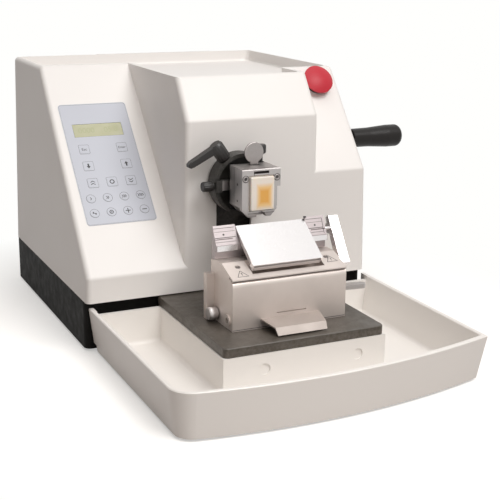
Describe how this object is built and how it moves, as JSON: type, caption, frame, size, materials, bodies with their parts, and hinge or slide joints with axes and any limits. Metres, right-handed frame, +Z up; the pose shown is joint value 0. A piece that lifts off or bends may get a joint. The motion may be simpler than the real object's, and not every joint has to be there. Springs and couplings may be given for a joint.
{
  "type": "rotary microtome",
  "caption": "Bench rotary microtome with a three-block white housing, handwheel, orienting clamp head, sloped knife holder and a bowed waste tray.",
  "frame": {"origin": "middle of the base casting's width at the housing's front face, on the flat underside of the base casting", "axes": "+Z up, +Y towards the back of the housing, +X to the operator's right, where the handwheel is"},
  "size_m": [0.482, 0.6247, 0.3147],
  "materials": {
    "housing_white": "satin, fine orange peel",
    "tray_white": "satin",
    "base_black": "fine texture",
    "plate_black": "satin",
    "head_black": "satin",
    "wheel_grey": "satin",
    "grip_black": "satin",
    "knob_black": "satin",
    "rubber_black": "matte",
    "holder_silver": "bead blasted",
    "clamp_silver": "machined",
    "steel": "ground",
    "bright_steel": "polished",
    "screw_steel": "turned",
    "cast_grey": "as cast, painted",
    "bearing_brass": "turned",
    "sheet_grey": "satin",
    "overlay_grey": "fine texture",
    "display_green": "clear",
    "board_green": "lacquered",
    "stop_red": "satin",
    "cassette_cream": "matte",
    "wax_cream": "waxy"
  },
  "bodies": {
    "base": {"base_casting": "base_black", "rubber_feet": "rubber_black", "slide_plate_lower": "plate_black", "slide_plate_upper": "plate_black", "plate_screws": "screw_steel", "housing_shell": "housing_white", "keypad_overlay": "overlay_grey", "display_window": "display_green", "control_board": "board_green", "power_supply": "sheet_grey", "rear_panel": "sheet_grey", "rear_panel_screws": "screw_steel", "mains_inlet": "knob_black", "switch_frame": "knob_black", "stop_switch": "knob_black", "guide_column": "cast_grey", "bearing_blocks": "cast_grey", "shaft_bearings": "bearing_brass", "shaft_seal": "knob_black"},
    "rocker": {"power_rocker": "knob_black"},
    "stop": {"stop_button": "stop_red"},
    "crank": {"crankshaft": "steel", "crank_disc": "steel", "crank_roller": "bearing_brass", "handwheel": "wheel_grey", "grip_axle": "steel"},
    "grip": {"grip": "grip_black"},
    "carriage": {"carriage": "cast_grey", "dust_shield": "head_black", "yoke_plate": "steel", "feed_motor": "head_black"},
    "arm": {"specimen_arm": "steel", "feed_nut": "bearing_brass", "head_flange": "head_black"},
    "feed_screw": {"feed_screw": "steel"},
    "ratchet": {"locking_lever": "knob_black"},
    "tilt": {"tilt_frame": "steel"},
    "tilt_knob": {"tilt_knob": "knob_black"},
    "swivel": {"swivel_plate": "clamp_silver", "clamp_body": "clamp_silver", "clamp_front_plate": "clamp_silver", "clamp_screws": "screw_steel", "cassette": "cassette_cream", "wax_block": "wax_cream"},
    "swivel_knob": {"swivel_knob": "knob_black"},
    "clamp_lever": {"clamp_lever": "clamp_silver"},
    "clamp_jaw": {"clamp_jaw": "steel"},
    "holder": {"holder_base": "holder_silver", "sloping_plate": "holder_silver", "sloping_plate_screws": "screw_steel", "pull_tab": "steel", "clamp_nut": "steel"},
    "holder_lever": {"holder_lever": "steel"},
    "angle_knob": {"angle_knob": "steel"},
    "carrier": {"blade_carrier": "holder_silver", "bed_plate": "clamp_silver", "microtome_blade": "bright_steel"},
    "guard": {"pressure_plate": "bright_steel"},
    "blade_lever": {"blade_lever": "bright_steel"},
    "tray": {"waste_tray": "tray_white"}
  },
  "joints": [
    {"name": "rocker_tip", "type": "hinge", "parent": "base", "child": "rocker", "pos_m": [0.02, 0.337, 0.112], "axis": [1, 0, 0], "range_deg": [-6, 6]},
    {"name": "stop_press", "type": "slide", "parent": "base", "child": "stop", "axis": [0, 0.804, -0.5946], "range_m": [0, 0.004], "stiffness_N_per_m": 900},
    {"name": "crank_turn", "type": "hinge", "parent": "base", "child": "crank", "pos_m": [0.15, 0.17, 0.15], "axis": [1, 0, 0], "continuous": true},
    {"name": "grip_turn", "type": "hinge", "parent": "crank", "child": "grip", "pos_m": [0.25, 0.10564, 0.21002], "axis": [1, 0, 0], "continuous": true},
    {"name": "carriage_stroke", "type": "slide", "parent": "base", "child": "carriage", "axis": [0, 0, 1], "range_m": [-0.06, 0]},
    {"name": "arm_feed", "type": "slide", "parent": "carriage", "child": "arm", "axis": [0, -1, 0], "range_m": [-0.003, 0.009]},
    {"name": "feed_screw_turn", "type": "hinge", "parent": "carriage", "child": "feed_screw", "pos_m": [0, 0.15, 0.19], "axis": [0, 1, 0], "range_deg": [-541, 1621]},
    {"name": "ratchet_swing", "type": "hinge", "parent": "arm", "child": "ratchet", "pos_m": [-0.02094, -0.019, 0.2199], "axis": [-0.5736, 0, 0.8192], "range_deg": [0, 75]},
    {"name": "specimen_tilt", "type": "hinge", "parent": "arm", "child": "tilt", "pos_m": [0, -0.023, 0.19], "axis": [1, 0, 0], "range_deg": [-8, 8]},
    {"name": "tilt_knob_turn", "type": "hinge", "parent": "arm", "child": "tilt_knob", "pos_m": [-0.045, -0.023, 0.19], "axis": [1, 0, 0], "range_deg": [-361, 361]},
    {"name": "specimen_swivel", "type": "hinge", "parent": "tilt", "child": "swivel", "pos_m": [0, -0.023, 0.19], "axis": [0, 0, 1], "range_deg": [-8, 8]},
    {"name": "swivel_knob_turn", "type": "hinge", "parent": "tilt", "child": "swivel_knob", "pos_m": [0.024, -0.022, 0.2297], "axis": [0, 0, 1], "range_deg": [-361, 361]},
    {"name": "clamp_lever_swing", "type": "hinge", "parent": "swivel", "child": "clamp_lever", "pos_m": [0.0053, -0.042, 0.206], "axis": [-1, 0, 0], "range_deg": [0, 14]},
    {"name": "clamp_jaw_lift", "type": "slide", "parent": "swivel", "child": "clamp_jaw", "axis": [0, 0, 1], "range_m": [0, 0.0025]},
    {"name": "holder_slide", "type": "slide", "parent": "base", "child": "holder", "axis": [0, -1, 0], "range_m": [0, 0.025]},
    {"name": "holder_lever_swing", "type": "hinge", "parent": "holder", "child": "holder_lever", "pos_m": [0, -0.128, 0.087], "axis": [0, 0, 1], "range_deg": [0, 18]},
    {"name": "angle_knob_turn", "type": "hinge", "parent": "holder", "child": "angle_knob", "pos_m": [-0.0735, -0.106, 0.0662], "axis": [1, 0, 0], "range_deg": [0, 180]},
    {"name": "blade_angle", "type": "hinge", "parent": "holder", "child": "carrier", "pos_m": [0, -0.0895, 0.158], "axis": [-1, 0, 0], "range_deg": [0, 8]},
    {"name": "guard_open", "type": "hinge", "parent": "carrier", "child": "guard", "pos_m": [0, -0.13369, 0.12173], "axis": [1, 0, 0], "range_deg": [0, 60]},
    {"name": "blade_lever_swing", "type": "hinge", "parent": "carrier", "child": "blade_lever", "pos_m": [0.08, -0.0941, 0.146], "axis": [-1, 0, 0], "range_deg": [0, 70]},
    {"name": "tray_pull", "type": "slide", "parent": "base", "child": "tray", "axis": [0, -1, 0], "range_m": [0, 0.3]}
  ],
  "couplings": [
    {"joint": "feed_screw_turn", "follows": "arm_feed", "rad_per_m": 3141.6},
    {"joint": "tilt_knob_turn", "follows": "specimen_tilt", "ratio": 45},
    {"joint": "swivel_knob_turn", "follows": "specimen_swivel", "ratio": 45},
    {"joint": "clamp_jaw_lift", "follows": "clamp_lever_swing", "m_per_rad": 0.0098}
  ]
}
